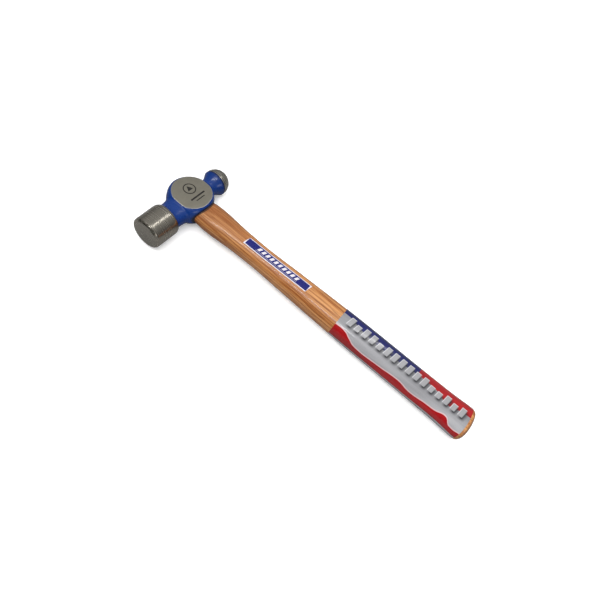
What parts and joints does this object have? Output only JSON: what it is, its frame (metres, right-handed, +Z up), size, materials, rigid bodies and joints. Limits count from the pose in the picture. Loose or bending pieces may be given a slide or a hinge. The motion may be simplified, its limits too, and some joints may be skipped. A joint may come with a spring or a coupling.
{
  "type": "ball peen hammer",
  "caption": "Ball peen hammer with a round striking face, a domed peen, ground cheeks, a wedged hickory handle and a printed grip sleeve.",
  "frame": {"origin": "centre of the underside of the hammer's box as it lies on its side", "axes": "+X along the handle from the head to the butt, +Y from the striking face to the ball peen, +Z up through the cheeks"},
  "size_m": [0.3924, 0.1192, 0.0348],
  "materials": {
    "head_steel": "ground bright on the poll, ball and cheeks, blue paint on the neck and the rest of the forging",
    "hickory": "clear gloss lacquer over straight grain",
    "wedge_wood": "bare sanded end grain",
    "wedge_steel": "dull, ground flush",
    "label_print": "satin printed label with a pale border",
    "printed_film": "glossy shrunk film printed in red, white and navy waves"
  },
  "bodies": {
    "root": {"hammer_head": "head_steel", "handle": "hickory", "wooden_wedge": "wedge_wood", "steel_wedge_face_side": "wedge_steel", "steel_wedge_peen_side": "wedge_steel", "handle_label": "label_print", "grip_sleeve": "printed_film"}
  },
  "joints": []
}
